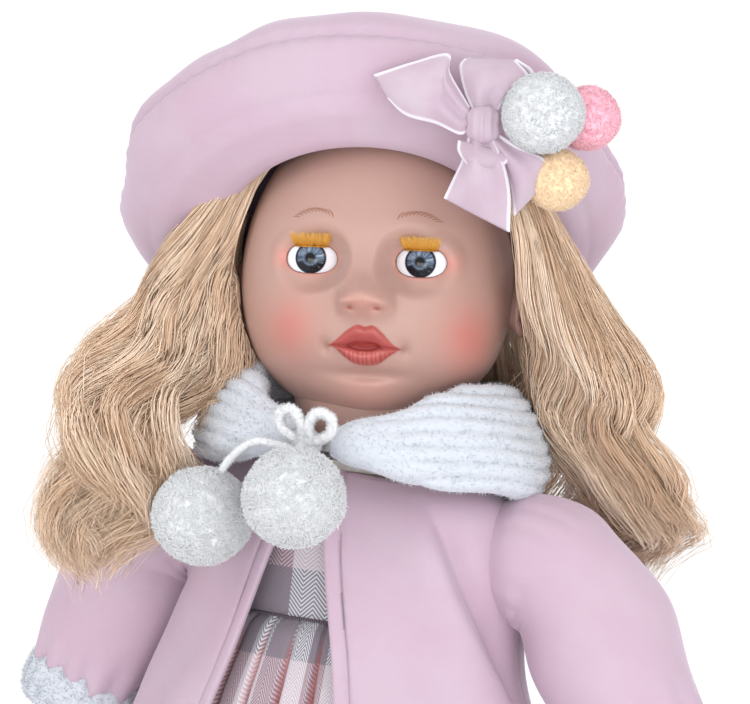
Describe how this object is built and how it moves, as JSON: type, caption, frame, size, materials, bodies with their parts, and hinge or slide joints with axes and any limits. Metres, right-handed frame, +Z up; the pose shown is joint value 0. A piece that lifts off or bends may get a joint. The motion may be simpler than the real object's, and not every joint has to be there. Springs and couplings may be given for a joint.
{
  "type": "standing toddler doll with voice unit",
  "caption": "Vinyl and cloth toddler doll with sleeping eyes and a voice unit, in beret, coat and dress, that turns its head and swings its limbs.",
  "frame": {"origin": "on the floor under the middle of the doll's box, measured without the hanging tie ends and their pompoms", "axes": "+Z up, the doll's chest faces -Y, its left side is +X"},
  "size_m": [0.2612, 0.1766, 0.4776],
  "materials": {
    "vinyl": "soft satin, skin tone",
    "hair": "glossy wavy synthetic fibre",
    "velour": "short pile with sheen",
    "ribbon": "velvet ribbon with picot edge",
    "plush": "long white pile",
    "rose_plush": "long rose pile",
    "beige_plush": "long beige pile",
    "tie_cord": "braided cord",
    "check_cloth": "woven check",
    "body_cloth": "stuffed cotton",
    "shoe": "pearly patent",
    "eye_white": "polished",
    "iris": "clear dome over a blue-grey iris",
    "lash": "brushed bristle",
    "steel": "plain",
    "casing": "moulded",
    "button": "moulded",
    "board": "solder mask",
    "battery": "printed sleeve"
  },
  "bodies": {
    "torso": {"cloth_body": "body_cloth", "neck_swivel": "casing", "neck_cable_tie": "casing", "voice_case_front": "casing", "voice_case_back": "casing", "speaker": "steel", "circuit_board": "board", "battery_1": "battery", "battery_2": "battery", "battery_3": "battery", "battery_door": "casing", "battery_door_screw": "steel", "button_spring": "steel", "dress_bodice": "check_cloth", "dress_skirt": "check_cloth", "coat_back": "velour", "coat_left_front": "velour", "coat_right_front": "velour", "collar_left": "plush", "collar_right": "plush", "tie_bow": "tie_cord"},
    "head": {"head_shell": "vinyl", "left_eye_socket": "casing", "right_eye_socket": "casing", "beret_brim": "velour", "beret_crown": "velour", "bow_knot": "ribbon", "bow_side_tail": "ribbon", "bow_upper_loop": "ribbon", "bow_lower_loops": "ribbon", "hat_pompom_white": "plush", "hat_pompom_rose": "rose_plush", "hat_pompom_beige": "beige_plush", "hair_left": "hair", "hair_right": "hair", "hair_back": "hair"},
    "left_eye": {"left_eyeball": "eye_white", "left_iris": "iris", "left_lashes": "lash", "left_eye_weight": "steel"},
    "right_eye": {"right_eyeball": "eye_white", "right_iris": "iris", "right_lashes": "lash", "right_eye_weight": "steel"},
    "left_arm": {"left_arm": "vinyl", "left_sleeve": "velour"},
    "right_arm": {"right_arm": "vinyl", "right_sleeve": "velour"},
    "left_leg": {"left_leg": "vinyl", "left_shoe": "shoe"},
    "right_leg": {"right_leg": "vinyl", "right_shoe": "shoe"},
    "voice_button": {"press_button": "button"},
    "switch_slider": {"power_switch": "casing"},
    "tie_ends": {"tie_tail_left": "tie_cord", "tie_tail_right": "tie_cord", "pompom_left": "plush", "pompom_right": "plush"}
  },
  "joints": [
    {"name": "head_turn", "type": "hinge", "parent": "torso", "child": "head", "pos_m": [-0.01112, -0.00296, 0.333], "axis": [0, 0, 1], "range_deg": [-74, 46], "deforming": ["hair_left", "hair_right", "hair_back"]},
    {"name": "left_eye_close", "type": "hinge", "parent": "head", "child": "left_eye", "pos_m": [0.00959, -0.02748, 0.39564], "axis": [0.9679, 0.2413, 0.0698], "range_deg": [0, 44]},
    {"name": "right_eye_close", "type": "hinge", "parent": "head", "child": "right_eye", "pos_m": [-0.02622, -0.03641, 0.39306], "axis": [0.9679, 0.2413, 0.0698], "range_deg": [0, 44]},
    {"name": "left_arm_swing", "type": "hinge", "parent": "torso", "child": "left_arm", "pos_m": [0.04928, -0.00296, 0.3], "axis": [-1, 0, 0], "range_deg": [-45, 90]},
    {"name": "right_arm_swing", "type": "hinge", "parent": "torso", "child": "right_arm", "pos_m": [-0.07152, -0.00296, 0.3], "axis": [-1, 0, 0], "range_deg": [-45, 90]},
    {"name": "left_leg_swing", "type": "hinge", "parent": "torso", "child": "left_leg", "pos_m": [0.01588, -0.00296, 0.188], "axis": [-1, 0, 0], "range_deg": [-25, 30]},
    {"name": "right_leg_swing", "type": "hinge", "parent": "torso", "child": "right_leg", "pos_m": [-0.03812, -0.00296, 0.188], "axis": [-1, 0, 0], "range_deg": [-25, 30]},
    {"name": "voice_button_press", "type": "slide", "parent": "torso", "child": "voice_button", "axis": [0, 1, 0], "range_m": [0, 0.002], "stiffness_N_per_m": 300, "springref_m": -0.0015, "deforming": ["button_spring"]},
    {"name": "power_switch_slide", "type": "slide", "parent": "torso", "child": "switch_slider", "axis": [1, 0, 0], "range_m": [0, 0.005]},
    {"name": "tie_swing", "type": "hinge", "parent": "torso", "child": "tie_ends", "pos_m": [-0.01112, -0.06096, 0.332], "axis": [-1, 0, 0], "range_deg": [0, 40]}
  ]
}
